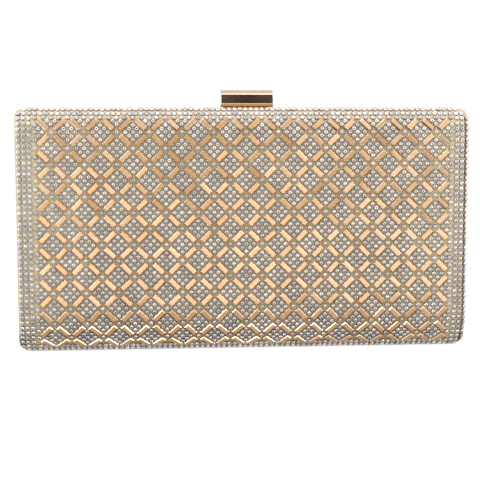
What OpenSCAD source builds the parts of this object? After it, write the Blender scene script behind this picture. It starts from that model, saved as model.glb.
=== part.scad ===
// Hard box evening clutch: two half-shells faced with a stone-set sheet, edged by
// gold frames, hinged along the bottom seam and held shut by a lift-lever clasp.
// +X is the bag's width, the front faces -Y, +Z is up and the bag stands on z = 0.

/* [Body] */
// Width over the fabric side walls
body_w = 213.2; // [180:0.2:260]
// Height of the fabric top wall above the floor
body_h = 114.4; // [95:0.2:145]
// Depth over the stones, front to back
body_d = 49; // [40:0.5:64]
// Radius of the rounding from the face to the top wall
edge_r = 14; // [10:0.5:16]
// Radius of the rounding from the face to the bottom wall
bottom_r = 26; // [18:1:28]
// Radius of the body's corners seen from the front
corner_r = 5; // [3:0.5:8]
// Radius of the upright edges seen from above
side_r = 3.5; // [2.5:0.5:6]

/* [Walls] */
// Thickness of the moulded half-shell
shell_t = 1.8; // [1.2:0.1:2.4]
// Thickness of the glued fabric and of the stone sheet's backing
fabric_t = 0.5; // [0.3:0.1:0.8]
// How far the stones stand out of their sheet
stone_h = 1.3; // [0.8:0.1:2]
// Thickness of the satin-covered lining card
lining_t = 0.5; // [0.3:0.1:0.8]

/* [Frame] */
// Width of each frame half, from its wall edge to the seam
frame_w = 2.1; // [1.6:0.1:3]
// How far the frame stands out of the fabric walls
frame_proud = 0.6; // [0.3:0.1:1]
// Gap between the two closed frame halves, on each side of the seam
seam_gap = 0.1; // [0.05:0.05:0.3]

/* [Hinge] */
// Radius of the hinge pin
hinge_pin_r = 0.8; // [0.6:0.05:0.85]
// Radial clearance of the pin in its knuckles
pin_clear = 0.05; // [0.03:0.01:0.1]
// Outer radius of the knuckles
knuckle_r = 1.5; // [1.4:0.05:1.55]
// Height of the hinge axis above the floor
hinge_z = 1.8; // [1.7:0.05:1.9]
// Length of the hinge
hinge_l = 198; // [120:6:198]
// Number of knuckles, shared by the two leaves
knuckle_n = 9; // [5:2:15]
// Gap between neighbouring knuckles
knuckle_gap = 0.3; // [0.2:0.1:0.6]
// Thickness of the hinge leaves
leaf_t = 0.6; // [0.4:0.05:0.7]
// Width of a leaf, from the seam
leaf_w = 9; // [7:0.5:12]
// Number of rivets in each leaf
hinge_rivet_n = 5; // [3:1:8]

/* [Clasp] */
// Width of the clasp bar
clasp_w = 25; // [20:0.5:40]
// Depth of the clasp bar, front to back
clasp_d = 12; // [12:0.5:14]
// Height of the bar's top above the frame when it is shut
clasp_h = 8.5; // [8.4:0.1:10]
// Wall thickness of the clasp bar
clasp_t = 1; // [0.8:0.1:1.2]
// How far the clasp stands to the right of the bag's middle
clasp_x = 2.5; // [-10:0.5:10]
// Radius of the clasp's pivot pin
clasp_pin_r = 0.75; // [0.6:0.05:0.85]
// Angle by which the resting lever is lifted clear of its striker
lever_rest = 6; // [6:0.5:8]
// How far the shut lever's lip reaches down in front of the striker
latch_overlap = 0.45; // [0.3:0.05:0.5]

/* [Inside] */
// Width of the slip pocket on the back lining
pocket_w = 150; // [100:5:160]
// Height of the slip pocket
pocket_h = 70; // [50:5:80]
// Radius of the hole in each chain lug
lug_hole_r = 1.5; // [1:0.1:2]

/* [Hidden] */

gold = [0.93, 0.76, 0.52];
pale_gold = [0.93, 0.90, 0.76];
silver_stone = [0.80, 0.79, 0.72];
satin = [0.86, 0.80, 0.66];
moulded = [0.80, 0.76, 0.66];

// Depths and heights of the half body
face_y = body_d / 2 - stone_h;
wall_y = frame_w + seam_gap;
edge_angle = 50;
bottom_angle = 48;
top_flat_z = body_h - edge_r * sin(edge_angle);
bottom_flat_z = bottom_r * sin(bottom_angle);
cover_end_y = face_y - edge_r * (1 - cos(edge_angle));
low_end_y = face_y - bottom_r * (1 - cos(bottom_angle));
side_end_y = face_y - side_r + fabric_t;
stone_top_z = body_h + 0.9;
stone_low_z = 0.1;
cover_side_in = 0.2;
arc_steps = 6;
long = 400;

// Layers, as depths below the fabric's outer surface
shell_in = fabric_t;
shell_out = fabric_t + shell_t;
lining_in = shell_out + leaf_t + 0.1;
lining_out = lining_in + lining_t;

// Points of a quarter arc about c, from angle a to angle b
function arc(c, r, a, b) =
    [for (i = [0:arc_steps]) let (t = a + (b - a) * i / arc_steps)
        [c[0] + r * cos(t), c[1] + r * sin(t)]];

// Outline across the depth: a flat face with rounded top and bottom edges.
// The inset moves every wall inwards.
module depth_profile(inset, low, high) {
    y0 = face_y - inset;
    intersection() {
        polygon(concat(
            [[0, -bottom_r], [0, body_h + edge_r]],
            arc([edge_r - face_y, top_flat_z], edge_r - inset, 90, 180),
            arc([bottom_r - face_y, bottom_flat_z], bottom_r - inset, 180, 240)));
        translate([-y0, low])
            square([y0, high - low]);
    }
}

// Outline seen from the front: a rectangle with rounded corners
module front_profile(inset, low, high) {
    r = max(corner_r - inset, 1);
    x = body_w / 2 - inset - r;
    polygon(concat(
        arc([x, high - r], r, 0, 90), arc([-x, high - r], r, 90, 180),
        arc([-x, low + r], r, 180, 270), arc([x, low + r], r, 270, 360)));
}

// Outline seen from above: the face's two upright edges are rounded
module plan_profile(inset) {
    r = side_r - min(inset, side_r - 1);
    x = body_w / 2 - inset - r;
    y = face_y - inset - r;
    polygon(concat([[x + r, 0], [-x - r, 0]],
        arc([-x, -y], r, 180, 270), arc([x, -y], r, 270, 360)));
}

// The half body, filled, from its face to the middle of the bag
module half_body(inset, side_inset, low, high) {
    intersection() {
        rotate([90, 0, 90])
            linear_extrude(long, center = true)
                depth_profile(inset, low, high);
        rotate([90, 0, 0])
            linear_extrude(long, center = true)
                front_profile(side_inset, low, high);
        linear_extrude(long)
            translate([0, inset - side_inset])
                plan_profile(side_inset);
    }
}

// A half body whose walls all lie at one inset
module half_layer(inset) {
    half_body(inset, inset, inset, body_h - inset);
}

// Keeps what lies between two depths in front of the seam
module between(y_near, y_far) {
    intersection() {
        children();
        translate([-long / 2, -y_far, -1])
            cube([long, y_far - y_near, 2 * body_h]);
    }
}

// ---- Half-shells and what covers them ----

module shell() {
    difference() {
        between(wall_y, body_d) half_layer(shell_in);
        half_layer(shell_out);
        hinge_rivet_places() cylinder(h = 2 * shell_out, r = rivet_r, $fn = 24);
    }
}

module band() {
    difference() {
        between(wall_y, side_end_y) half_layer(0);
        half_layer(shell_in);
        edge_strips();
    }
}

// What lies in front of a depth, between two heights
module ahead_of(y, low, high, w = long) {
    translate([-w / 2, -body_d, low])
        cube([w, body_d - y, high - low]);
}

// The rounded edges above and below the face, inside the side walls' fabric
module edge_strips() {
    inner_w = body_w - 2 * fabric_t;
    ahead_of(cover_end_y, body_h / 2, 2 * body_h, inner_w);
    ahead_of(low_end_y, -1, body_h / 2, inner_w);
}

module stone_envelope() {
    difference() {
        intersection() {
            half_body(-stone_h, cover_side_in, stone_low_z, stone_top_z);
            union() {
                ahead_of(side_end_y, -1, 2 * body_h);
                edge_strips();
            }
        }
        half_layer(shell_in);
    }
}

module lining() {
    difference() {
        between(wall_y, body_d) half_layer(lining_in);
        half_layer(lining_out);
    }
}

// ---- Frame: an arch over the top and down both sides ----

// The frame ends just above the hinge's axis, so the halves can fold open
frame_foot_z = hinge_z + 0.8;

module frame() {
    difference() {
        rotate([90, 0, 0])
            linear_extrude(wall_y)
                difference() {
                    front_profile(-frame_proud, -frame_proud, body_h + frame_proud);
                    front_profile(lining_in, -body_h, body_h - lining_in);
                    translate([-long / 2, -long + frame_foot_z])
                        square(long);
                }
        translate([-long / 2, -seam_gap, -1])
            cube([long, long, 2 * body_h]);
    }
}

// ---- Hinge ----

rivet_r = 0.8;
knuckle_l = hinge_l / knuckle_n;
leaf_z = shell_out;
leaf_start_y = knuckle_r + 0.4;
// How far a knuckle's tab laps onto its leaf
tab_lap = 0.5;

module along_x(x, y, z, r, l) {
    translate([x, y, z])
        rotate([0, 90, 0])
            cylinder(h = l, r = r, center = true, $fn = 48);
}

// Every second knuckle, beginning at the first or the second
module knuckle_places(first) {
    for (i = [first:2:knuckle_n - 1])
        translate([(i + 0.5 - knuckle_n / 2) * knuckle_l, 0, 0])
            children();
}

module hinge_rivet_places() {
    for (i = [0:hinge_rivet_n - 1])
        translate([(i + 0.5 - hinge_rivet_n / 2) * hinge_l / hinge_rivet_n,
                   -(leaf_w + leaf_start_y) / 2, 0])
            children();
}

module hinge_leaf(first) {
    difference() {
        union() {
            translate([-hinge_l / 2, -leaf_w, leaf_z])
                cube([hinge_l, leaf_w - leaf_start_y, leaf_t]);
            knuckle_places(first) {
                translate([-(knuckle_l - knuckle_gap) / 2, -leaf_start_y - tab_lap,
                           leaf_z])
                    cube([knuckle_l - knuckle_gap, leaf_start_y, leaf_t]);
                along_x(0, 0, hinge_z, knuckle_r, knuckle_l - knuckle_gap);
            }
        }
        along_x(0, 0, hinge_z, hinge_pin_r + pin_clear, hinge_l + 2);
        hinge_rivet_places() cylinder(h = 2 * shell_out, r = rivet_r, $fn = 24);
    }
}

module hinge_rivets() {
    hinge_rivet_places()
        translate([0, 0, shell_in])
            cylinder(h = shell_t + leaf_t, r = rivet_r, $fn = 24);
}

// ---- Clasp ----

frame_top_z = body_h + frame_proud;
plate_t = 0.55;
plate_z = frame_top_z;
// The plates stop short of the seam, and the feet stop short of the frame
plate_start_y = seam_gap + 0.25;
foot_start_y = wall_y + 0.1;
plate_top_z = plate_z + plate_t;
pivot_y = 2.6;
pivot_z = frame_top_z + 4;
bar_y = clasp_d / 2;
lip_y = bar_y - 1.7;
lip_low = 0.9;
ear_w = 2;
ear_x = clasp_w / 2 - clasp_t - 0.5 - ear_w;
foot_w = clasp_w - 6;
// The bar's back wall ends this far below the pivot, so it clears the ears
back_drop = 0.6;
// The bar's front skirt hangs past the end of the striker, just above the fabric
skirt_low_z = body_h + 0.2;
skirt_y = bar_y - 0.8;
skirt_t = 0.25;
// The striker's ridge reaches this far above the shut lip's lower edge
ridge_top_z = frame_top_z + lip_low + latch_overlap;
ridge_y = lip_y - 0.35;

// The clasp's places are counted from the middle of its bar
module at_clasp() {
    translate([clasp_x, 0, 0])
        children();
}

// Turns a piece of the lever from shut to its resting place
module at_rest() {
    translate([0, pivot_y, pivot_z])
        rotate([-lever_rest, 0, 0])
            translate([0, -pivot_y, -pivot_z])
                children();
}

// Section of the bar: chamfered below and above its front, gently falling behind
module bar_section() {
    low = frame_top_z + lip_low;
    high = frame_top_z + clasp_h;
    polygon([[-skirt_y + skirt_t, low], [-skirt_y, skirt_low_z],
             [-bar_y, skirt_low_z + 1.7], [-bar_y, high - 2.9],
             [-bar_y + 0.8, high - 2], [-bar_y + 3, high - 0.6],
             [-bar_y + 5, high], [bar_y - 2.5, high], [bar_y - 0.7, high - 1],
             [bar_y, high - 2.2], [bar_y, pivot_z - back_drop],
             [bar_y - clasp_t, pivot_z - back_drop], [bar_y - clasp_t, low]]);
}

// The space inside the bar, open below
module bar_hollow() {
    low = frame_top_z;
    high = frame_top_z + clasp_h - clasp_t;
    polygon([[-lip_y, low - 1], [-lip_y, low + lip_low + 1.2],
             [-bar_y + clasp_t, low + lip_low + 1.8], [-bar_y + clasp_t, high - 2.4],
             [-bar_y + 2.8, high - 0.8], [bar_y - 2.9, high - 0.3],
             [bar_y - clasp_t, high - 1.6], [bar_y - clasp_t, pivot_z - back_drop],
             [bar_y + 1, pivot_z - back_drop], [bar_y + 1, low - 1]]);
}

module clasp_bar() {
    difference() {
        rotate([90, 0, 90])
            linear_extrude(clasp_w, center = true)
                bar_section();
        rotate([90, 0, 90])
            linear_extrude(clasp_w - 2 * clasp_t, center = true)
                bar_hollow();
        along_x(0, pivot_y, pivot_z, clasp_pin_r + pin_clear, clasp_w + 2);
    }
}

module clasp_rivet_places(y) {
    for (x = [-1, 1])
        translate([clasp_x + x * (foot_w / 2 - 2.2), y, body_h - shell_out])
            cylinder(h = plate_top_z - body_h + shell_out, r = rivet_r, $fn = 24);
}

base_rivet_y = 5.4;
striker_rivet_y = -3.6;
striker_end_y = skirt_y - skirt_t - 0.25;
ridge_t = 0.9;
ridge_w = foot_w - 9;

module clasp_ears() {
    for (x = [-1, 1])
        translate([x * (ear_x + ear_w / 2), 0, 0])
            rotate([90, 0, 90])
                linear_extrude(ear_w, center = true) {
                    translate([pivot_y, pivot_z])
                        circle(r = 1.7, $fn = 48);
                    translate([pivot_y - 1.7, plate_z])
                        square([3.4, pivot_z - plate_z]);
                }
}

// A foot on the fabric wall and a plate over the frame, from the seam to its end
module clasp_foot(end_y) {
    translate([-foot_w / 2, foot_start_y, body_h])
        cube([foot_w, end_y - foot_start_y, plate_z - body_h + 0.1]);
    translate([-foot_w / 2, plate_start_y, plate_z])
        cube([foot_w, end_y - plate_start_y, plate_t]);
}

module spring_helix(turns, wire_r, coil_r, pitch) {
    sides = 6;
    steps = 12;
    n = turns * steps;
    points = [for (i = [0:n]) let (a = 360 * i / steps) for (k = [0:sides - 1])
        let (b = 360 * k / sides, r = coil_r + wire_r * cos(b))
            [pitch * i / steps + wire_r * sin(b), r * cos(a), r * sin(a)]];
    rings = [for (i = [0:n - 1]) for (k = [0:sides - 1])
        [i * sides + k, i * sides + (k + 1) % sides,
         (i + 1) * sides + (k + 1) % sides, (i + 1) * sides + k]];
    ends = [[for (k = [0:sides - 1]) sides - 1 - k],
            [for (k = [0:sides - 1]) n * sides + k]];
    polyhedron(points, concat(rings, ends));
}

spring_turns = 7;
spring_wire_r = 0.22;
spring_pitch = 0.62;

// ---- Inside ----

lining_face_y = face_y - lining_out;
pocket_z = bottom_flat_z + 1;
pocket_gap = 0.9;
pocket_t = 0.5;
gusset_x = body_w / 2 - lining_out - 0.4;
gusset_t = 2;
gusset_end_y = lining_face_y - 6;
// The fan narrows from its upper edge to a foot just above the hinge
gusset_top_z = body_h - 16;
gusset_tip_h = 8;
gusset_foot_y = 1;
gusset_foot_z = lining_out + 4;
lug_ring = 1.5;
lug_t = 1.2;
lug_reach = lug_hole_r + lug_ring + 0.8;
lug_z = body_h - lining_out - 6;
lug_y = 6;

// A pleated fabric fan that folds flat between the two halves
module gusset() {
    rotate([90, 0, 90])
        linear_extrude(gusset_t)
            polygon([[-gusset_foot_y, gusset_foot_z], [gusset_foot_y, gusset_foot_z],
                     [gusset_end_y, gusset_top_z - gusset_tip_h],
                     [gusset_end_y, gusset_top_z],
                     [-gusset_end_y, gusset_top_z],
                     [-gusset_end_y, gusset_top_z - gusset_tip_h]]);
}

module lug() {
    difference() {
        union() {
            rotate([0, 90, 90])
                cylinder(h = lug_t, r = lug_hole_r + lug_ring, $fn = 48);
            translate([0, 0, -lug_hole_r - lug_ring])
                cube([lug_reach, lug_t, 2 * (lug_hole_r + lug_ring)]);
        }
        rotate([-90, 0, 0])
            translate([0, 0, -1])
                cylinder(h = lug_t + 2, r = lug_hole_r, $fn = 48);
    }
}

// ---- The nodes ----

module front_shell() {
    color(moulded)
        difference() {
            shell();
            clasp_rivet_places(striker_rivet_y);
        }
}

module back_shell() {
    color(moulded)
        difference() {
            mirror([0, 1, 0])
                shell();
            clasp_rivet_places(base_rivet_y);
        }
}

module front_band() {
    color(pale_gold)
        difference() {
            band();
            clasp_rivet_places(striker_rivet_y);
        }
}

module back_band() {
    color(pale_gold)
        difference() {
            mirror([0, 1, 0])
                band();
            clasp_rivet_places(base_rivet_y);
        }
}

module front_cover() {
    color(silver_stone)
        stone_envelope();
}

module back_cover() {
    color(silver_stone)
        mirror([0, 1, 0])
            stone_envelope();
}

module front_frame() {
    color(gold)
        frame();
}

module back_frame() {
    color(gold)
        mirror([0, 1, 0])
            frame();
}

module front_lining() {
    color(satin)
        lining();
}

module back_lining() {
    color(satin)
        mirror([0, 1, 0])
            lining();
}

module slip_pocket() {
    color(satin)
        difference() {
            translate([-pocket_w / 2, lining_face_y - pocket_gap, pocket_z])
                cube([pocket_w, pocket_gap, pocket_h]);
            translate([-pocket_w / 2 + 2, lining_face_y - pocket_gap + pocket_t,
                       pocket_z + 2])
                cube([pocket_w - 4, pocket_gap, pocket_h]);
        }
}

module left_gusset() {
    color(satin)
        translate([-gusset_x, 0, 0])
            gusset();
}

module right_gusset() {
    color(satin)
        translate([gusset_x - gusset_t, 0, 0])
            gusset();
}

module front_hinge_leaf() {
    color(gold)
        hinge_leaf(1);
}

module back_hinge_leaf() {
    color(gold)
        mirror([0, 1, 0])
            hinge_leaf(0);
}

module hinge_pin() {
    color(gold)
        along_x(0, 0, hinge_z, hinge_pin_r, hinge_l);
}

module front_hinge_rivets() {
    color(gold)
        hinge_rivets();
}

module back_hinge_rivets() {
    color(gold)
        mirror([0, 1, 0])
            hinge_rivets();
}

module clasp_base() {
    color(gold)
        difference() {
            at_clasp() {
                clasp_foot(bar_y + 0.8);
                clasp_ears();
            }
            at_clasp()
                along_x(0, pivot_y, pivot_z, clasp_pin_r, clasp_w);
            clasp_rivet_places(base_rivet_y);
        }
}

module clasp_lever() {
    color(gold)
        at_clasp()
            at_rest()
                clasp_bar();
}

module clasp_pin() {
    color(gold)
        at_clasp()
            along_x(0, pivot_y, pivot_z, clasp_pin_r, clasp_w - 0.2);
}

module clasp_spring() {
    color(gold)
        at_clasp()
            translate([-spring_turns * spring_pitch / 2, pivot_y, pivot_z])
                spring_helix(spring_turns, spring_wire_r,
                             clasp_pin_r + spring_wire_r + 0.1, spring_pitch);
}

module clasp_striker() {
    color(gold)
        difference() {
            at_clasp() {
                mirror([0, 1, 0])
                    clasp_foot(striker_end_y);
                translate([-ridge_w / 2, -ridge_y, plate_z])
                    cube([ridge_w, ridge_t, ridge_top_z - plate_z]);
            }
            clasp_rivet_places(striker_rivet_y);
        }
}

module base_rivets() {
    color(gold)
        clasp_rivet_places(base_rivet_y);
}

module striker_rivets() {
    color(gold)
        clasp_rivet_places(striker_rivet_y);
}

module chain_lugs() {
    color(gold)
        for (x = [-1, 1])
            translate([x * (body_w / 2 - lining_out - lug_reach), lug_y, lug_z])
                mirror([x < 0 ? 1 : 0, 0, 0])
                    lug();
}

front_shell();
back_shell();
front_band();
back_band();
front_cover();
back_cover();
front_frame();
back_frame();
front_lining();
back_lining();
slip_pocket();
left_gusset();
right_gusset();
front_hinge_leaf();
back_hinge_leaf();
hinge_pin();
front_hinge_rivets();
back_hinge_rivets();
clasp_base();
clasp_lever();
clasp_pin();
clasp_spring();
clasp_striker();
base_rivets();
striker_rivets();
chain_lugs();
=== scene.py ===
"""Looks of a hard box evening clutch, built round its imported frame. Lengths are in metres."""
import math
import random

import bmesh
import bpy
from mathutils import Matrix, Vector, noise


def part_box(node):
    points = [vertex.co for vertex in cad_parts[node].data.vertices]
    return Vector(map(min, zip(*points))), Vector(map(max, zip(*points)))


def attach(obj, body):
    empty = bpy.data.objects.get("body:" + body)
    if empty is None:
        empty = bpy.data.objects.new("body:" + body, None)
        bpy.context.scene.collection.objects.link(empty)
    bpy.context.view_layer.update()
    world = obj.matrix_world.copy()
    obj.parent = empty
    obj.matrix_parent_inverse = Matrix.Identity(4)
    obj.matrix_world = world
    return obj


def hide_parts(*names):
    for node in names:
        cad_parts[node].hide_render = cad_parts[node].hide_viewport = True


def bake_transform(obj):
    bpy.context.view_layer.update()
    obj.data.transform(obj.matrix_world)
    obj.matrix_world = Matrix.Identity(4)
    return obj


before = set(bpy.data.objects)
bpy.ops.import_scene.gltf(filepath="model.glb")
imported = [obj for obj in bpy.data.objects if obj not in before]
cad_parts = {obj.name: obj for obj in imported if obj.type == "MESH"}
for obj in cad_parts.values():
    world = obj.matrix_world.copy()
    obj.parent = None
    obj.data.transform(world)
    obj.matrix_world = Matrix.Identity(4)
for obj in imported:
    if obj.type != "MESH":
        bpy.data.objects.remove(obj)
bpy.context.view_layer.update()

MM = 0.001
SEED = 7

# Sizes that the frame gives
BAND_LOW, BAND_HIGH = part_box("front_band")
COVER_LOW, COVER_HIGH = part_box("front_cover")
POCKET_LOW, POCKET_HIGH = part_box("slip_pocket")
GUSSET_LOW, GUSSET_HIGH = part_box("right_gusset")
LEVER_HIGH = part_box("clasp_lever")[1]
HALF_W = BAND_HIGH.x
BODY_H = BAND_HIGH.z

# Sizes of the half body, as the construction has them
STONE_H = 1.3 * MM
FABRIC_T = 0.5 * MM
FACE_Y = -COVER_LOW.y - STONE_H
TOP_R = 14 * MM
LOW_R = 26 * MM
CORNER_R = 5 * MM
TOP_ANGLE = math.radians(50)
LOW_ANGLE = math.radians(48)
FLAT_LOW_Z = LOW_R * math.sin(LOW_ANGLE)
FLAT_HIGH_Z = BODY_H - TOP_R * math.sin(TOP_ANGLE)
LINING_OUT = 3.5 * MM
SEAM_WALL_Y = 2.2 * MM

# The lattice: crossings lie a half pitch apart in rows and columns, every second one used
HALF_PITCH = 7.5 * MM
COLUMNS = 26
LATTICE_U = 0.6 * MM
# Heights of the rows along the sheet: they crowd a little where it curves
ROW_S = [110.15 * MM, 103.4 * MM] + [(103.4 - 7.5 * i) * MM for i in range(1, 11)]
ROW_S += [20.9 * MM, 13.7 * MM, 6.7 * MM, 0.4 * MM]
ROWS = len(ROW_S) - 1
CELL_STEP = 2.5 * MM / math.sqrt(2)
BORDER_STEP = 2.55 * MM
SIDE_COLUMNS = [2.7 * MM, 5.2 * MM, 7.65 * MM]
TOP_BORDER_S = [112.4 * MM, 115.0 * MM]
LOW_BORDER_S = [1.4 * MM, -0.75 * MM]
STONE_R = 1.03 * MM
STUD_L = 6.6 * MM
STUD_W = 2.65 * MM
CLASP_H = 8.5 * MM


# ---------------------------------------------------------------- shader maths

class Socket:
    """A node socket that adds Math nodes when it is used in an expression."""

    def __init__(self, tree, out):
        self.tree = tree
        self.out = out

    def _math(self, operation, *values):
        node = self.tree.nodes.new("ShaderNodeMath")
        node.operation = operation
        for i, value in enumerate(values):
            if isinstance(value, Socket):
                self.tree.links.new(value.out, node.inputs[i])
            else:
                node.inputs[i].default_value = value
        return Socket(self.tree, node.outputs[0])

    def __add__(self, other):
        return self._math("ADD", self, other)

    def __radd__(self, other):
        return self._math("ADD", other, self)

    def __sub__(self, other):
        return self._math("SUBTRACT", self, other)

    def __rsub__(self, other):
        return self._math("SUBTRACT", other, self)

    def __mul__(self, other):
        return self._math("MULTIPLY", self, other)

    def __rmul__(self, other):
        return self._math("MULTIPLY", other, self)

    def __truediv__(self, other):
        return self._math("DIVIDE", self, other)

    def __pow__(self, other):
        return self._math("POWER", self, other)

    def clamp(self, low=0.0, high=1.0):
        return self._math("MINIMUM", self._math("MAXIMUM", self, low), high)

    def sin(self):
        return self._math("SINE", self)

    def abs(self):
        return self._math("ABSOLUTE", self)


class Material:
    """A node material whose expressions start from its own nodes."""

    def __init__(self, name, **constants):
        self.material = bpy.data.materials.new(name)
        self.material.use_nodes = True
        self.tree = self.material.node_tree
        self.tree.nodes.clear()
        self.shader = self.tree.nodes.new("ShaderNodeBsdfPrincipled")
        self.output = self.tree.nodes.new("ShaderNodeOutputMaterial")
        self.tree.links.new(self.shader.outputs[0], self.output.inputs[0])
        self.set(**constants)

    def set(self, **values):
        for key, value in values.items():
            socket = self.shader.inputs[key.replace("_", " ")]
            if isinstance(value, Socket):
                self.tree.links.new(value.out, socket)
            elif isinstance(value, tuple) and len(value) == 3:
                socket.default_value = (*value, 1)
            else:
                socket.default_value = value
        return self

    def node(self, kind, settings=None, output=0, **inputs):
        node = self.tree.nodes.new("ShaderNode" + kind)
        for key, value in (settings or {}).items():
            if key == "stops":
                ramp = node.color_ramp
                while len(ramp.elements) < len(value):
                    ramp.elements.new(0.5)
                for element, (at, colour) in zip(ramp.elements, value):
                    element.position = at
                    element.color = (*colour, 1)
            else:
                setattr(node, key, value)
        for key, value in inputs.items():
            name = key.replace("_", " ")
            socket = node.inputs[int(name[1:])] if name[0] == "i" and name[1:].isdigit() else node.inputs[name]
            if isinstance(value, Socket):
                self.tree.links.new(value.out, socket)
            else:
                socket.default_value = value
        return Socket(self.tree, node.outputs[output])

    def place(self):
        return self.node("TexCoord", output=3)

    def mix(self, a, b, factor, blend="MIX"):
        a = (*a, 1) if isinstance(a, tuple) else a
        b = (*b, 1) if isinstance(b, tuple) else b
        return self.node("Mix", {"data_type": "RGBA", "blend_type": blend}, 2,
                         i0=factor, i6=a, i7=b)

    def noise(self, scale, detail=2.0, vector=None, output=0):
        return self.node("TexNoise", None, output, Vector=vector or self.place(),
                         Scale=scale, Detail=detail)

    def bump(self, height, strength, distance, **normal):
        return self.node("Bump", None, 0, Height=height, Strength=strength,
                         Distance=distance, **normal)

    def axes(self):
        split = self.tree.nodes.new("ShaderNodeSeparateXYZ")
        self.tree.links.new(self.place().out, split.inputs[0])
        return [Socket(self.tree, out) for out in split.outputs]


def fabric_material(name, base, dark, thread, sheen=0.3, metallic=0.0, rough=0.6):
    """Woven cloth: two sets of threads, slow shade changes and a soft sheen."""
    m = Material(name, Roughness=rough, Metallic=metallic, Sheen_Weight=sheen,
                 Sheen_Roughness=0.4)
    x, y, z = m.axes()
    turns = 2 * math.pi / thread
    warp = ((x + y) * turns).sin()
    weft = (z * turns).sin()
    weave = (warp * weft) * 0.5 + 0.5
    slow = m.noise(60, 3)
    fine = m.noise(1800, 2)
    tone = (weave * 0.35 + slow * 0.4 + fine * 0.45).clamp()
    m.set(Base_Color=m.mix(dark, base, tone),
          Roughness=(rough + (fine - 0.5) * 0.25).clamp(0.2, 1.0),
          Normal=m.bump(weave * 0.7 + fine * 0.3, 0.35, 0.00012))
    return m.material


def backing_material():
    """Pressed foil cloth under the stones: olive gold, with a painted reflection that pales it to the sides
    and painted warm light on top.
    """
    m = Material("sheet_backing", Metallic=0.2)
    x, y, z = m.axes()
    turns = 2 * math.pi / 0.0009
    weave = ((x + y) * turns).sin() * (z * turns).sin() * 0.5 + 0.5
    slow, fine = m.noise(60, 3), m.noise(1800, 2)
    tone = (weave * 0.3 + slow * 0.45 + fine * 0.45).clamp()
    colour = m.mix((0.28, 0.19, 0.09), (0.74, 0.58, 0.34), tone)
    # Painted reflection: beyond 72 mm out to either side the sheet is mixed towards pale cream.
    sides = ((x.abs() - 0.072) / 0.025 + (slow - 0.5)).clamp()
    colour = m.mix(colour, (0.88, 0.78, 0.52), sides * 0.55)
    # Painted warm light: the top rows, above 104 mm, are mixed towards warm gold.
    painted_top_warmth = ((z - 0.104) / 0.006 + (slow - 0.5)).clamp()
    colour = m.mix(colour, (0.84, 0.66, 0.42), painted_top_warmth * 0.6)
    m.set(Base_Color=colour, Roughness=(0.5 + (fine - 0.5) * 0.25).clamp(0.2, 1.0),
          Normal=m.bump(weave * 0.7 + fine * 0.3, 0.35, 0.00012))
    return m.material


def satin_material(name, base, dark):
    """Satin: fine floats along one way, so light runs along its folds."""
    m = Material(name, Roughness=0.38, Sheen_Weight=0.5, Sheen_Roughness=0.3)
    x, y, z = m.axes()
    thread = (z * (2 * math.pi / 0.00035)).sin() * 0.5 + 0.5
    slow = m.noise(45, 3)
    fine = m.noise(900, 2)
    tone = (slow * 0.8 + fine * 0.2).clamp()
    m.set(Base_Color=m.mix(dark, base, tone),
          Roughness=(fine * 0.2 + 0.3),
          Normal=m.bump(thread * 0.5 + fine * 0.5, 0.2, 0.00008))
    return m.material


def metal_material(name, base, dark, rough, wear=0.3, brushed=0.0):
    """Plated metal: faint smears in its gloss, a few hairlines and darker patches."""
    m = Material(name, Metallic=1.0)
    slow = m.noise(90, 4)
    fine = m.noise(2500, 3)
    x, y, z = m.axes()
    streak = m.noise(1.0, 2, m.node("Mapping", None, 0, Vector=m.place(),
                                    Scale=(60, 2500, 2500)))
    tone = ((slow - 0.35) * 1.6).clamp()
    m.set(Base_Color=m.mix(dark, base, (tone * wear + (1 - wear))),
          Roughness=(rough + (slow - 0.5) * rough * 0.8 + (fine - 0.5) * 0.05).clamp(0.03, 1),
          Normal=m.bump(streak * brushed + fine * 0.2, 0.12, 0.00004,
                        Normal=m.node("Bevel", {"samples": 6}, 0, Radius=0.00018)))
    return m.material


def clasp_material():
    """Polished plating, banded by height with painted light: a dark lip of painted shade and
    dark reflection at the bottom, a painted pale highlight line above it, pale gold over the
    front, and a darker crown band along the top that is partly painted reflection."""
    m = Material("clasp_gold", Metallic=1.0)
    x, y, z = m.axes()
    slow = m.noise(160, 4)
    up = (z - (LEVER_HIGH.z - CLASP_H)) / CLASP_H + (slow - 0.5) * 0.01
    # Painted light by height: near-black painted shade and dark reflection at the lip, a near-white painted
    # highlight line, pale gold over the front, and a darker band along the top that is partly painted
    # reflection.
    colour = m.node("ValToRGB", {"stops": [
        (0.02, (0.10, 0.03, 0.01)), (0.06, (0.34, 0.14, 0.05)), (0.10, (0.60, 0.34, 0.14)),
        (0.185, (0.55, 0.31, 0.13)), (0.205, (1.0, 0.95, 0.88)), (0.26, (0.95, 0.74, 0.54)),
        (0.775, (1.0, 0.88, 0.74)), (0.81, (0.50, 0.34, 0.20)),
        (1.0, (0.60, 0.43, 0.27))]}, 0, Fac=up)
    # Darker patches by noise, multiplied into the colour.
    noise_darkening = (slow - 0.4) * 1.5
    m.set(Base_Color=m.mix(colour, (0.62, 0.45, 0.36), noise_darkening.clamp() * 0.4, "MULTIPLY"),
          Roughness=(0.08 + (slow - 0.5) * 0.06 + (m.noise(2500, 3) - 0.5) * 0.04).clamp(0.03),
          Normal=m.bump(m.noise(700, 3), 0.06, 0.00004,
                        Normal=m.node("Bevel", {"samples": 6}, 0, Radius=0.00018)))
    return m.material


def toned_material(name, low, high, metallic, rough, **constants):
    """A finish that differs from stone to stone by the piece's own 'tone' attribute."""
    m = Material(name, Metallic=metallic, **constants)
    tone = m.node("Attribute", {"attribute_name": "tone"}, 2)
    fine = m.noise(1400, 2)
    m.set(Base_Color=m.mix(low, high, (tone * 0.85 + fine * 0.3 - 0.08).clamp()),
          Roughness=(rough + (fine - 0.5) * 0.1).clamp(0.02, 1))
    return m.material


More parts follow.
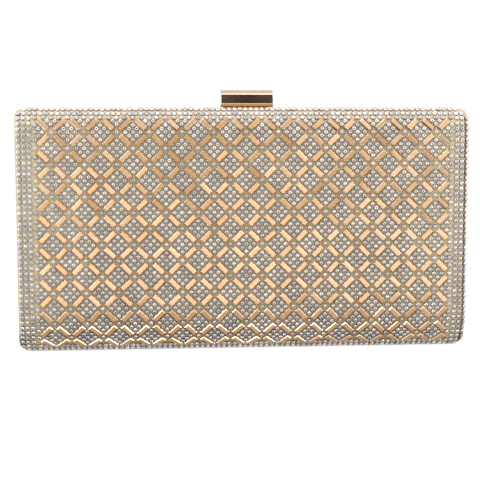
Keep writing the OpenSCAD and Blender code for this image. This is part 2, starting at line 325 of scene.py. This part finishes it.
CROWN = toned_material("stone_crown", (0.62, 0.62, 0.63), (0.93, 0.93, 0.94), 0.4, 0.12,
                       Coat_Weight=0.6, Coat_Roughness=0.05)
# Stone tables: dark grey that paints the dark reflection at the centre of each stone.
TABLE_PAINTED_DARK = toned_material("stone_table_painted_dark", (0.12, 0.13, 0.15), (0.55, 0.58, 0.63), 0.7, 0.1,
                       Coat_Weight=0.6, Coat_Roughness=0.05)
# Setting cups: their own gold-brown, darkened further to paint the shade round each stone.
SETTING_AND_SHADE = toned_material("stone_setting_and_shade", (0.10, 0.055, 0.024), (0.42, 0.27, 0.135), 0.5, 0.4)
STUD = toned_material("stud_gold", (0.86, 0.54, 0.30), (0.95, 0.64, 0.40), 0.4, 0.14)
STUD_RIM = toned_material("stud_rim", (0.72, 0.42, 0.21), (1.0, 0.80, 0.58), 0.85, 0.12)
# Stud sides: dark brown that paints the shade along each stud's upright sides.
STUD_SIDE_SHADE = toned_material("stud_side_painted_shade", (0.18, 0.08, 0.03), (0.48, 0.25, 0.10), 0.5, 0.3)
FRAME_GOLD = metal_material("frame_gold", (0.95, 0.78, 0.52), (0.80, 0.60, 0.36), 0.16)
CLASP_GOLD = clasp_material()
INNER_GOLD = metal_material("inner_gold", (0.90, 0.72, 0.46), (0.70, 0.52, 0.30), 0.28,
                            brushed=0.6)
STEEL = metal_material("pin_steel", (0.72, 0.71, 0.69), (0.5, 0.49, 0.47), 0.25, brushed=0.8)
BACKING = backing_material()
BAND = fabric_material("band_fabric", (0.88, 0.85, 0.70), (0.78, 0.72, 0.53), 0.0007,
                       metallic=0.25, rough=0.42)
SATIN = satin_material("satin_lining", (0.66, 0.58, 0.43), (0.54, 0.45, 0.31))
GUSSET = satin_material("gusset_satin", (0.66, 0.58, 0.43), (0.52, 0.43, 0.29))
MOULDED = fabric_material("moulded_shell", (0.80, 0.76, 0.66), (0.70, 0.66, 0.56), 0.002,
                          sheen=0.0)


# ------------------------------------------------------------------- the surface

def sheet_point(u, s, h=0.0):
    """Point, outward normal, and right-hand direction of the front sheet.
    u runs across and s up from the floor, unrolled; h is the height above the sheet."""
    z, y, a = s, -FACE_Y, 0.0
    if s > FLAT_HIGH_Z:
        a = (s - FLAT_HIGH_Z) / TOP_R
        z, y = FLAT_HIGH_Z + TOP_R * math.sin(a), y + TOP_R * (1 - math.cos(a))
    elif s < FLAT_LOW_Z:
        a = (s - FLAT_LOW_Z) / LOW_R
        z, y = FLAT_LOW_Z + LOW_R * math.sin(a), y + LOW_R * (1 - math.cos(a))
    past = max(abs(u) - SIDE_FLAT, 0.0)
    b = math.copysign(past / SIDE_ROUND, u)
    x = math.copysign(min(abs(u), SIDE_FLAT), u) + SIDE_ROUND * math.sin(b)
    y += SIDE_ROUND * (1 - math.cos(b))
    normal = Vector((math.sin(b), -math.cos(a) * math.cos(b), math.sin(a))).normalized()
    right = Vector((math.cos(b), math.sin(b) * math.cos(a), 0)).normalized()
    return Vector((x, y, z)) + normal * h, normal, right


def seat(u, s, h=0.0, turn=0.0, tilt=(0.0, 0.0)):
    """Matrix that stands a stone or stud, made flat with +Z up, on the front sheet."""
    point, normal, right = sheet_point(u, s, h)
    up = normal.cross(right).normalized()
    right = up.cross(normal).normalized()
    basis = Matrix((right, up, normal)).transposed()
    local = Matrix.Rotation(tilt[0], 3, "X") @ Matrix.Rotation(tilt[1], 3, "Y")
    local = local @ Matrix.Rotation(turn, 3, "Z")
    return Matrix.Translation(point) @ (basis @ local).to_4x4()


SIDE_FLAT = 104.4 * MM
SIDE_ROUND = 2 * MM
TOP_S = FLAT_HIGH_Z + TOP_R * math.radians(49.5)
LOW_S = FLAT_LOW_Z - LOW_R * math.radians(47)
EDGE_U = SIDE_FLAT + SIDE_ROUND * math.radians(60)


def inside_corners(u, s, margin):
    """True where a place on the sheet is inside its rounded corners."""
    r = CORNER_R
    x = abs(u) - (EDGE_U - r)
    up = max(s - (TOP_S - r), (LOW_S + r) - s)
    if x <= 0 or up <= 0:
        return abs(u) <= EDGE_U - margin and LOW_S + margin <= s <= TOP_S - margin
    return math.hypot(x, up) <= r - margin


# -------------------------------------------------------------- bmesh helpers

def finish_mesh(bm, name, materials, smooth=False):
    """Makes an object of a bmesh, at the origin, with its materials in order."""
    mesh = bpy.data.meshes.new(name)
    bm.to_mesh(mesh)
    bm.free()
    for material in materials:
        mesh.materials.append(material)
    if smooth:
        mesh.polygons.foreach_set("use_smooth", [True] * len(mesh.polygons))
    obj = bpy.data.objects.new(name, mesh)
    bpy.context.scene.collection.objects.link(obj)
    return obj


def thicken(bm, thickness):
    """Closes an open sheet into a solid: a second skin behind it and a rim between."""
    bm.normal_update()
    faces = bm.faces[:]
    back = {v: v.co - v.normal * thickness for v in bm.verts}
    back = {v: bm.verts.new(co) for v, co in back.items()}
    rims = [e.link_loops[0] for e in bm.edges if e.is_boundary]
    rims = [(loop.vert, loop.link_loop_next.vert) for loop in rims]
    for face in faces:
        bm.faces.new([back[v] for v in reversed(face.verts)])
    for a, b in rims:
        bm.faces.new((b, a, back[a], back[b]))


def skin(bm, rings, closed=True):
    """Joins rings of points, each as long as the next, into a sheet of quads."""
    loops = [[bm.verts.new(p) for p in ring] for ring in rings]
    for lower, upper in zip(loops, loops[1:]):
        count = len(lower)
        for k in range(count if closed else count - 1):
            j = (k + 1) % count
            bm.faces.new((lower[k], lower[j], upper[j], upper[k]))
    return loops


def round_path(x, low, high, r):
    """Points and outward directions round an upright rectangle with round corners."""
    path = []
    corners = ((x - r, high - r), (-x + r, high - r), (-x + r, low + r), (x - r, low + r))
    for i, (cx, cz) in enumerate(corners):
        for step in range(5):
            a = math.radians(90 * i + 22.5 * step)
            path.append((cx + r * math.cos(a), cz + r * math.sin(a), a))
        nx, nz = corners[(i + 1) % 4]
        a = math.radians(90 * i + 90)
        off = (r * math.cos(a), r * math.sin(a))
        count = 40 if i % 2 == 0 else 20
        for step in range(1, count):
            t = step / count
            path.append((cx + (nx - cx) * t + off[0], cz + (nz - cz) * t + off[1], a))
    return path


def turned(obj, name):
    """A copy for the other half: the same piece turned half round the upright axis."""
    mesh = obj.data.copy()
    mesh.transform(Matrix.Rotation(math.pi, 4, "Z"))
    other = bpy.data.objects.new(name, mesh)
    bpy.context.scene.collection.objects.link(other)
    return other


def scatter(name, prototype, seats, materials):
    """One mesh with a copy of a prototype at every seat; each copy has its own tone."""
    bm = bmesh.new()
    tone = bm.verts.layers.float.new("tone")
    prototype(bm)
    geometry = bm.verts[:] + bm.edges[:] + bm.faces[:]
    originals = bm.verts[:]
    for matrix, shade in seats:
        copy = bmesh.ops.duplicate(bm, geom=geometry)["geom"]
        verts = [v for v in copy if isinstance(v, bmesh.types.BMVert)]
        bmesh.ops.transform(bm, matrix=matrix, verts=verts)
        for v in verts:
            v[tone] = shade
    bmesh.ops.delete(bm, geom=originals, context="VERTS")
    return finish_mesh(bm, name, materials)


def ring_stack(bm, sides, rings, slots):
    """Rings of (radius, height) joined upwards and closed by a flat top.
    slots gives the material of each belt and, last, of the top."""
    previous, foot = None, None
    for i, (r, h) in enumerate(rings):
        loop = bmesh.ops.create_circle(bm, segments=sides, radius=r,
                                       matrix=Matrix.Translation((0, 0, h)))["verts"]
        if previous:
            for k in range(sides):
                face = bm.faces.new((previous[k], previous[(k + 1) % sides],
                                     loop[(k + 1) % sides], loop[k]))
                face.material_index = slots[i - 1]
        previous = loop
        foot = foot or loop
    bm.faces.new(previous).material_index = slots[-1]
    bm.faces.new(foot[::-1])


def stone_prototype(bm):
    """A flat-backed round stone in its low metal setting."""
    r = STONE_R
    ring_stack(bm, 12, [(1.12 * r, -0.06 * MM), (1.1 * r, 0.3 * MM), (0.99 * r, 0.36 * MM),
                        (0.97 * r, 0.5 * MM), (0.66 * r, 0.92 * MM), (0.34 * r, 1.05 * MM)],
               [0, 0, 1, 1, 1, 2])


def stud_prototype(bm):
    """A baguette stud: upright sides, a sloped rim and a flat top."""
    half_l, half_w = STUD_L / 2, STUD_W / 2
    previous, foot = None, None
    for inset, height in ((0, -0.25), (0, 0.5), (0.42, 1.0), (0.5, 1.05)):
        x, y, z = half_l - inset * MM, half_w - inset * MM, height * MM
        loop = [bm.verts.new(p) for p in ((-x, -y, z), (x, -y, z), (x, y, z), (-x, y, z))]
        if previous:
            for k in range(4):
                face = bm.faces.new((previous[k], previous[(k + 1) % 4],
                                     loop[(k + 1) % 4], loop[k]))
                face.material_index = 1 if inset == 0 else 2
        previous = loop
        foot = foot or loop
    bm.faces.new(previous)
    bm.faces.new(foot[::-1])


# ----------------------------------------------------------------- stone sheet

def row_s(r):
    """Height of a row, or of a place between two rows, along the sheet."""
    low = min(int(r), ROWS - 1)
    return ROW_S[low] + (ROW_S[low + 1] - ROW_S[low]) * (r - low)


def lattice_place(c, r):
    return LATTICE_U + (c - COLUMNS / 2) * HALF_PITCH, row_s(r)


def lattice_stones():
    """Places of the stones at the crossings and of the nine in each diamond."""
    places = []
    step = CELL_STEP / HALF_PITCH
    for r in range(ROWS):
        for c in range(COLUMNS + 1):
            if (c + r) % 2 == 0:
                places.append(lattice_place(c, r))
                continue
            for i in (-1, 0, 1):
                for k in (-1, 0, 1):
                    across, up = (i - k) * step, (i + k) * step
                    outside = (c == 0 and across < 0) or (c == COLUMNS and across > 0)
                    if not outside and r - up >= -0.01:
                        places.append(lattice_place(c + across, r - up))
    return places


def border_stones():
    """Places of the plain rows above and below the lattice and of the side columns."""
    left, right = lattice_place(0, 0)[0], lattice_place(COLUMNS, 0)[0]
    places = []
    high_s, low_s = TOP_BORDER_S[-1], LOW_BORDER_S[-1]
    count = round((high_s - low_s) / BORDER_STEP)
    for i in range(count + 1):
        s = high_s + (low_s - high_s) * i / count
        for step in SIDE_COLUMNS:
            places += [(left - step, s), (right + step, s)]
    count = round((right - left) / BORDER_STEP)
    for i in range(count + 1):
        u = left + (right - left) * i / count
        places += [(u, s) for s in TOP_BORDER_S + LOW_BORDER_S]
    return [p for p in places if inside_corners(*p, 0.5 * MM)]


def stone_seats(places, rng):
    seats = []
    for u, s in places:
        jitter = 0.07 * MM
        matrix = seat(u + rng.uniform(-jitter, jitter), s + rng.uniform(-jitter, jitter),
                      0.0, rng.uniform(0, math.pi), (rng.gauss(0, 0.05), rng.gauss(0, 0.05)))
        seats.append((matrix, rng.random()))
    return seats


def stud_seats(rng):
    """Seats of the studs; each is squeezed with its row where the rows crowd."""
    seats = []
    for r in range(ROWS):
        squeeze = min((row_s(r) - row_s(r + 1)) / HALF_PITCH * 1.04, 1)
        for c in range(COLUMNS):
            u, s = lattice_place(c + 0.5, r + 0.5)
            turn = -math.pi / 4 if (c + r) % 2 == 0 else math.pi / 4
            tilt = (rng.triangular(-0.06, 0.06), rng.triangular(-0.06, 0.06))
            base = seat(u, s, 0.0, 0.0, tilt)
            local = Matrix.Scale(squeeze, 4, (0, 1, 0))
            local = local @ Matrix.Rotation(turn + rng.gauss(0, 0.02), 4, "Z")
            seats.append((base @ local, rng.random()))
    return seats


def backing_sheet(name):
    """The backing of the stones: a grid laid over the face and its rounded edges."""
    bm = bmesh.new()
    bmesh.ops.create_grid(bm, x_segments=70, y_segments=72, size=1)
    mid_s, half_s = (TOP_S + LOW_S) / 2, (TOP_S - LOW_S) / 2
    for v in bm.verts:
        u, s = v.co.x * EDGE_U, v.co.y * half_s
        x, up = abs(u) - (EDGE_U - CORNER_R), abs(s) - (half_s - CORNER_R)
        if x > 0 and up > 0:
            shrink = max(x, up) / math.hypot(x, up)
            u = math.copysign(EDGE_U - CORNER_R + x * shrink, u)
            s = math.copysign(half_s - CORNER_R + up * shrink, s)
        v.co = sheet_point(u, mid_s + s)[0]
    thicken(bm, FABRIC_T)
    return finish_mesh(bm, name, [BACKING], smooth=True)


def stone_sheets():
    rng = random.Random(SEED)
    lattice = stone_seats(lattice_stones(), rng)
    border = stone_seats(border_stones(), rng)
    studs = stud_seats(rng)
    left = [s for s in lattice if s[0].translation.x < 0]
    right = [s for s in lattice if s[0].translation.x >= 0]
    stone_materials = [SETTING_AND_SHADE, CROWN, TABLE_PAINTED_DARK]
    pieces = [backing_sheet("front_sheet_backing"),
              scatter("front_stones_left", stone_prototype, left, stone_materials),
              scatter("front_stones_right", stone_prototype, right, stone_materials),
              scatter("front_border_stones", stone_prototype, border, stone_materials),
              scatter("front_studs", stud_prototype, studs, [STUD, STUD_SIDE_SHADE, STUD_RIM])]
    backs = [turned(piece, piece.name.replace("front", "back")) for piece in pieces]
    for half, group in (("front", pieces), ("back", backs)):
        for obj in group:
            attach(obj, half + "_half")
        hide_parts(half + "_cover")


stone_sheets()


# ------------------------------------------------------------ cloth and satin

def band():
    """The fabric round a half's walls, from the frame to the stone sheet."""
    ends = (18.1 * MM, 20.1 * MM, 14.5 * MM, 20.1 * MM)
    path = round_path(HALF_W, 0.0, BODY_H, CORNER_R)
    rings = []
    for k in range(9):
        ring = []
        for x, z, a in path:
            quarter = (a / (math.pi / 2) + 3) % 4
            i = int(quarter + 1e-6) % 4
            part = quarter - int(quarter + 1e-6)
            end = ends[i] + (ends[(i + 1) % 4] - ends[i]) * part
            y = SEAM_WALL_Y + (end - SEAM_WALL_Y) * k / 8
            puff = -0.03 * MM * abs(noise.noise(Vector((x, y, z)) * 220))
            ring.append(Vector((x + puff * math.cos(a), -y, z + puff * math.sin(a))))
        rings.append(ring)
    bm = bmesh.new()
    skin(bm, rings)
    return bm


def lining_walls(depth):
    """Where the lining's top, bottom and sides stand at a depth from the seam."""
    top_r, low_r = TOP_R - LINING_OUT, LOW_R - LINING_OUT
    high, low = BODY_H - LINING_OUT, LINING_OUT
    top_c, low_c = FACE_Y - TOP_R, FACE_Y - LOW_R
    if depth > top_c:
        high = min(high, FLAT_HIGH_Z + math.sqrt(max(top_r ** 2 - (depth - top_c) ** 2, 0)))
    low = max(low, FLAT_LOW_Z - math.sqrt(max(low_r ** 2 - (depth - low_c) ** 2, 0)))
    return HALF_W - LINING_OUT, low, high


def lining():
    """The satin tray inside a half: its walls, then its flat face ring by ring."""
    face = FACE_Y - LINING_OUT
    depths = [2.25, 4.5, 7.5, 10.5, 13, 14.5, 16, 17.2, 18.2, 18.9, 19.4, 19.65]
    rings = []
    for depth in depths:
        x, low, high = lining_walls(depth * MM)
        rings.append([Vector((px, -depth * MM, pz))
                      for px, pz, a in round_path(x, low, high, 1.5 * MM)])
    x, low, high = lining_walls(face)
    mid = (low + high) / 2
    for scale in (0.985, 0.95, 0.88, 0.78, 0.66, 0.52, 0.38, 0.24, 0.1):
        ring = []
        for px, pz, a in round_path(x * scale, mid + (low - mid) * scale,
                                    mid + (high - mid) * scale, 1.5 * MM):
            soft = noise.noise(Vector((px * 40, 3, pz * 55))) + 0.6
            ring.append(Vector((px, -face + 0.22 * MM * max(soft, 0) * (1 - scale) ** 0.3, pz)))
        rings.append(ring)
    bm = bmesh.new()
    loops = skin(bm, rings)
    bm.faces.new(loops[-1])
    bmesh.ops.reverse_faces(bm, faces=bm.faces)
    return bm


def pocket():
    """The slip pocket on the back lining: stitched at three sides, a gathered hem above."""
    low, high = POCKET_LOW, POCKET_HIGH
    wall = high.y - 0.15 * MM
    rings = []
    for k in range(29):
        t = k / 28
        ring = []
        for i in range(61):
            v = i / 60
            x = low.x + (high.x - low.x) * v
            edge = math.sin(math.pi * v) ** 0.4 if 0 < v < 1 else 0.0
            bulge = 1.3 * edge * t ** 0.7
            ripple = 0.16 * edge * math.sin(x * 900 + 2 * noise.noise(Vector((x * 60, 0, 0))))
            bulge += ripple * max((t - 0.6) / 0.4, 0)
            bulge += 0.25 * edge * noise.noise(Vector((x * 35, 0, t * 4)))
            hem = 0.35 if 0.87 < t < 0.99 else 0.0
            y = wall - (0.45 + max(bulge, 0) + hem) * MM
            ring.append(Vector((x, y, low.z + (high.z - low.z) * t)))
        rings.append(ring)
    bm = bmesh.new()
    skin(bm, rings, closed=False)
    return bm


PLEATS = 8


def gusset(side):
    """A pleated fan between the halves; its pleats are deepest along its upper edge."""
    low, high = GUSSET_LOW, GUSSET_HIGH
    rings = []
    for k in range(25):
        t = k / 24
        half = 1 * MM + (high.y - 1 * MM) * min(t / 0.91, 1)
        depth = (0.8 + 5.2 * t) * MM
        ring = []
        for i in range(PLEATS * 4 + 1):
            a = i / (PLEATS * 4)
            fold = abs((a * PLEATS) % 1 - 0.5) * 2
            fold = fold * fold * (3 - 2 * fold)
            x = HALF_W - LINING_OUT - 0.45 * MM - depth * (1 - fold)
            ring.append(Vector((side * x, (2 * a - 1) * half, low.z + (high.z - low.z) * t)))
        rings.append(ring)
    bm = bmesh.new()
    skin(bm, rings, closed=False)
    if side < 0:
        bmesh.ops.reverse_faces(bm, faces=bm.faces)
    return bm


def cloth_piece(bm, name, material, thickness):
    thicken(bm, thickness)
    return finish_mesh(bm, name, [material], smooth=True)


def soft_pieces():
    band_l = 2 * (2 * HALF_W + BODY_H) - (8 - 2 * math.pi) * CORNER_R
    band_w = 17.5 * MM
    deep = FACE_Y - LINING_OUT - SEAM_WALL_Y
    line_w, line_h = 2 * (HALF_W - LINING_OUT) + 2 * deep, BODY_H - 2 * LINING_OUT + 2 * deep
    front_band = cloth_piece(band(), "front_band_fabric", BAND, FABRIC_T)
    front_satin = cloth_piece(lining(), "front_satin_lining", SATIN, 0.45 * MM)
    pairs = ((front_band, "band", "band_fabric", (band_w, band_l), "shell", None),
             (front_satin, "lining", "satin_lining", (line_w, line_h), "shell",
              0.89 * line_w * line_h))
    for front, node, slot, flat, base, area in pairs:
        back = turned(front, front.name.replace("front", "back"))
        for obj, half in ((front, "front"), (back, "back")):
            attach(obj, half + "_half")
            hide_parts(half + "_" + node)
            half + "_" + base
    slip = cloth_piece(pocket(), "back_slip_pocket", SATIN, 0.4 * MM)
    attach(slip, "back_half")
    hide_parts("slip_pocket")
    for side, name in ((-1, "left"), (1, "right")):
        fan = cloth_piece(gusset(side), name + "_gusset_fan", GUSSET, 0.25 * MM)
        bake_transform(fan)
        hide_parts(name + "_gusset")


soft_pieces()


# ------------------------------------------------------------------ CAD nodes

def paint(material, *nodes):
    for name in nodes:
        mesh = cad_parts[name].data
        mesh.materials.clear()
        mesh.materials.append(material)


paint(FRAME_GOLD, "front_frame", "back_frame")
paint(MOULDED, "front_shell", "back_shell")
paint(INNER_GOLD, "front_hinge_leaf", "back_hinge_leaf", "front_hinge_rivets",
      "back_hinge_rivets", "clasp_base", "clasp_striker", "base_rivets",
      "striker_rivets", "chain_lugs")
paint(CLASP_GOLD, "clasp_lever")
paint(STEEL, "hinge_pin", "clasp_pin", "clasp_spring")


# ---------------------------------------------------------- camera and lights

FOCAL_SHARE = 1042.5 / 480
SENSOR = 36
EYE = Vector((-0.0383, -0.5103, 0.0994))
AZIMUTH = math.radians(4.22)
ELEVATION = math.radians(5.45)
ROLL = math.radians(-0.135)


def make_camera():
    data = bpy.data.cameras.new("camera")
    data.sensor_width = SENSOR
    data.lens = SENSOR * FOCAL_SHARE
    camera = bpy.data.objects.new("camera", data)
    bpy.context.scene.collection.objects.link(camera)
    camera.location = EYE
    aim = Matrix.Rotation(-AZIMUTH, 4, "Z") @ Matrix.Rotation(math.pi / 2 - ELEVATION, 4, "X")
    camera.rotation_euler = (aim @ Matrix.Rotation(ROLL, 4, "Z")).to_euler()
    bpy.context.scene.camera = camera


def soft_light(name, place, aim, size, power):
    data = bpy.data.lights.new(name, "AREA")
    data.shape = "RECTANGLE"
    data.size, data.size_y = size
    data.energy = power
    lamp = bpy.data.objects.new(name, data)
    bpy.context.scene.collection.objects.link(lamp)
    lamp.location = place
    lamp.rotation_euler = (Vector(aim) - Vector(place)).to_track_quat("-Z", "Y").to_euler()


def seen_rays(tree):
    """One for what the eye sees, directly, mirrored or through glass; else nothing."""
    path = tree.nodes.new("ShaderNodeLightPath")
    rays = [Socket(tree, path.outputs[name])
            for name in ("Is Camera Ray", "Is Glossy Ray", "Is Transmission Ray")]
    return (rays[0] + rays[1] + rays[2]).clamp()


def white_world(strength):
    """A white backdrop to the eye and in reflections, and a plain grey light."""
    world = bpy.data.worlds.new("studio")
    world.use_nodes = True
    tree = world.node_tree
    tree.nodes.clear()
    seen = tree.nodes.new("ShaderNodeBackground")
    light = tree.nodes.new("ShaderNodeBackground")
    mix = tree.nodes.new("ShaderNodeMixShader")
    out = tree.nodes.new("ShaderNodeOutputWorld")
    seen.inputs[0].default_value = (1, 1, 1, 1)
    light.inputs[0].default_value = (strength, strength, strength, 1)
    tree.links.new(seen_rays(tree).out, mix.inputs[0])
    tree.links.new(light.outputs[0], mix.inputs[1])
    tree.links.new(seen.outputs[0], mix.inputs[2])
    tree.links.new(mix.outputs[0], out.inputs[0])
    bpy.context.scene.world = world


def make_floor():
    """A wide pale floor. The eye sees it lit up to the backdrop's white, less its shadow."""
    bm = bmesh.new()
    bmesh.ops.create_grid(bm, x_segments=1, y_segments=1, size=40)
    m = Material("floor_white", Roughness=0.95)
    m.set(Base_Color=(0.9, 0.9, 0.9), Emission_Color=(1, 1, 1), Emission_Strength=0.52)
    plain = m.node("BsdfDiffuse", None, 0, Color=(0.9, 0.9, 0.9, 1))
    mix = m.node("MixShader", None, 0, i0=seen_rays(m.tree), i1=plain,
                 i2=Socket(m.tree, m.shader.outputs[0]))
    m.tree.links.new(mix.out, m.output.inputs[0])
    finish_mesh(bm, "floor", [m.material])


def make_card(name, centre, size, lean):
    """A dark card that shows only in what the metal and the stones mirror."""
    bm = bmesh.new()
    bmesh.ops.create_grid(bm, x_segments=1, y_segments=1, size=0.5,
                          matrix=Matrix.Translation(centre) @ Matrix.Rotation(lean, 4, "X")
                          @ Matrix.Diagonal((*size, 1, 1)))
    m = Material(name, Roughness=0.9)
    patches = ((m.noise(14, 4) - 0.35) * 3).clamp()
    m.set(Base_Color=m.mix((0.02, 0.014, 0.012), (0.24, 0.17, 0.14), patches))
    mirrored = m.node("LightPath", None, "Is Glossy Ray")
    clear = m.node("BsdfTransparent")
    mix = m.node("MixShader", None, 0, i0=mirrored, i1=clear,
                 i2=Socket(m.tree, m.shader.outputs[0]))
    m.tree.links.new(mix.out, m.output.inputs[0])
    finish_mesh(bm, name, [m.material])


make_camera()
soft_light("top_light", (-0.1, -0.35, 0.9), (0, 0, 0.05), (0.9, 0.6), 2.8)
soft_light("ceiling", (0, 0.3, 1.0), (0, 0, 0.05), (1.3, 1.0), 1.2)
soft_light("left_light", (-0.9, -0.4, 0.40), (0, 0, 0.05), (0.5, 0.8), 3.2)
soft_light("right_light", (0.9, -0.5, 0.35), (0, 0, 0.05), (0.5, 0.8), 2.9)
white_world(0.54)
make_floor()
make_card("dark_card", (0.15, -1.3, 0.40), (0.8, 0.7), math.pi / 2)
make_card("low_card", (0.03, -0.0885, 0.0005), (0.46, 0.141), 0)
bpy.context.scene.view_settings.view_transform = "Standard"
